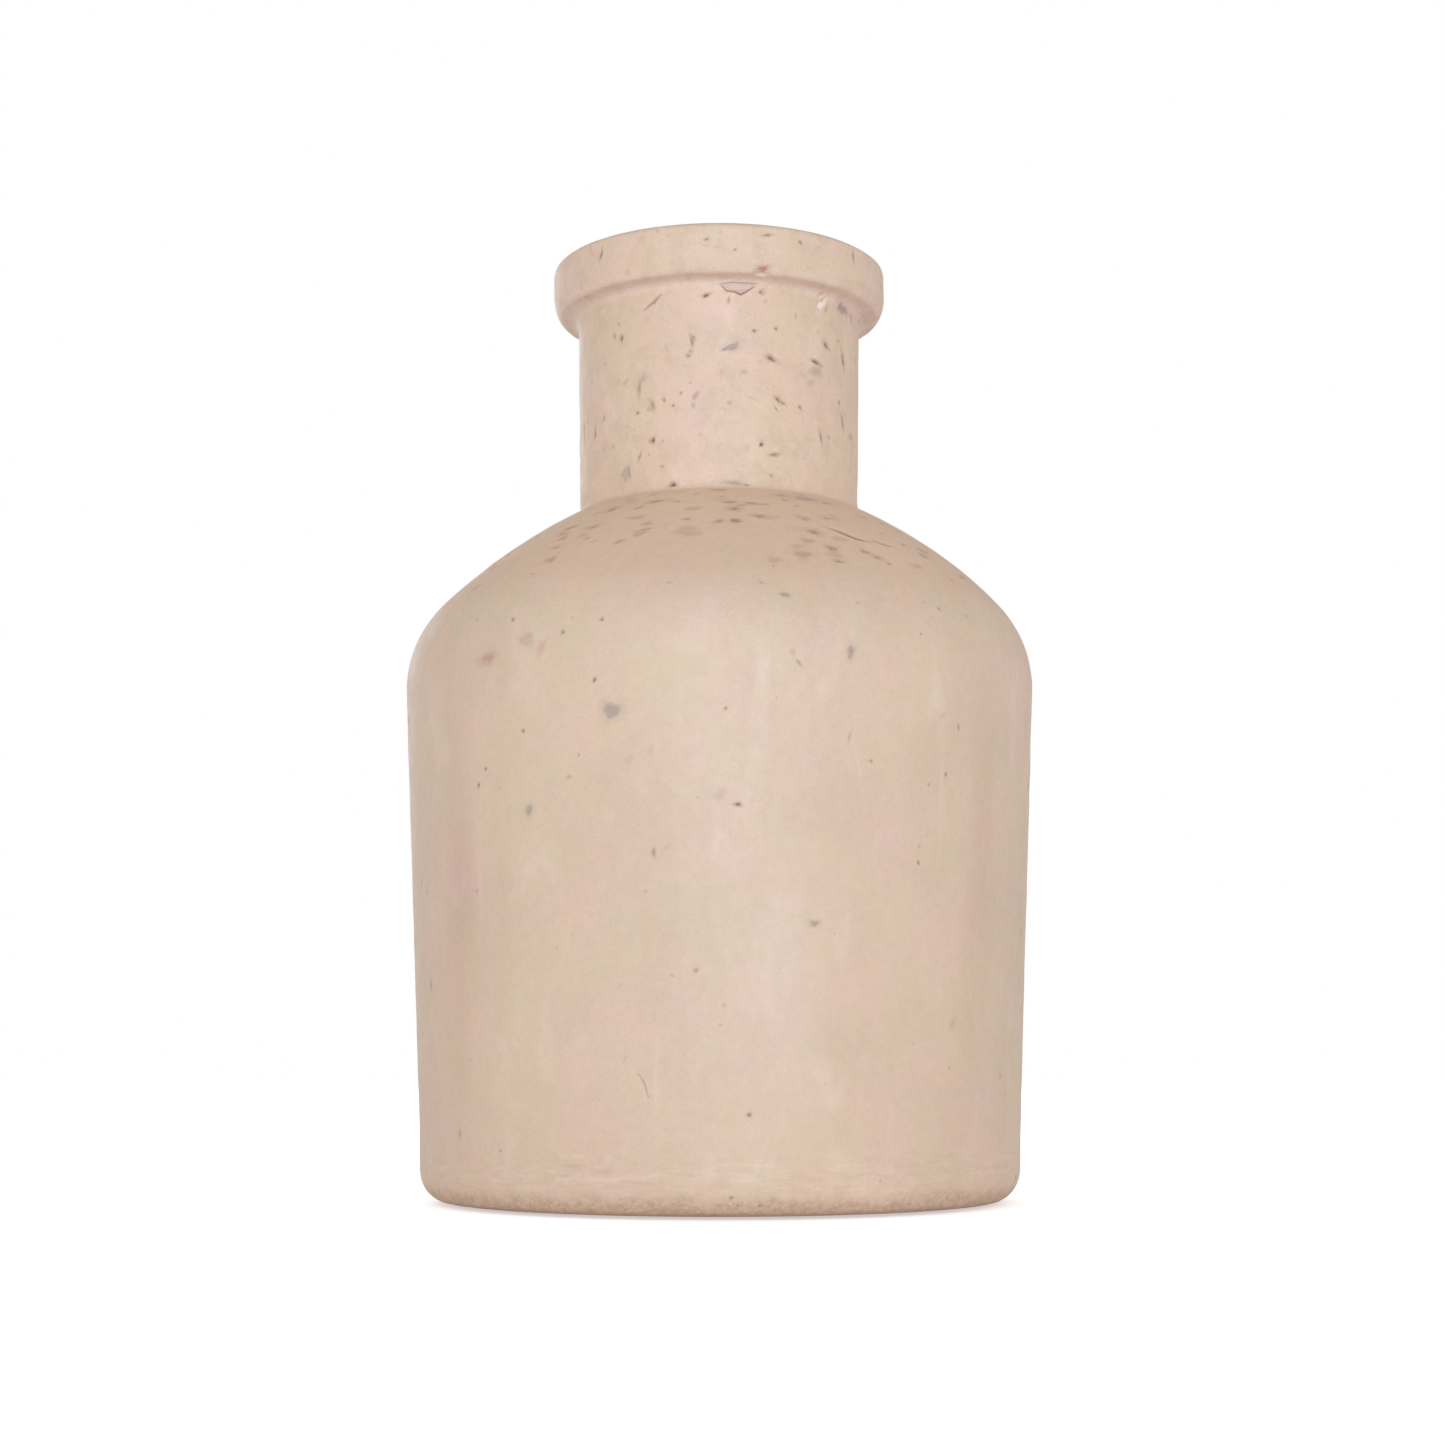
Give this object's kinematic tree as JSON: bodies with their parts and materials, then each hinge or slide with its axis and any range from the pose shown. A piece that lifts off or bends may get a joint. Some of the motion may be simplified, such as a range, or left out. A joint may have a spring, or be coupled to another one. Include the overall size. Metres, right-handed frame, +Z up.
{
  "type": "bud vase",
  "caption": "Bottle-shaped stoneware bud vase with a broad round body, sloping shoulder, narrow straight neck and collared mouth, standing on felt pads.",
  "frame": {"origin": "on the vase's axis, on the surface that its pads stand on", "axes": "+Z up the axis to the mouth; the pictured side faces -Y"},
  "size_m": [0.0934, 0.0934, 0.14],
  "materials": {
    "stoneware": "matte",
    "felt": "matte"
  },
  "bodies": {
    "root": {"vase_body": "stoneware", "base_pad_1": "felt", "base_pad_2": "felt", "base_pad_3": "felt", "base_pad_4": "felt"}
  },
  "joints": []
}
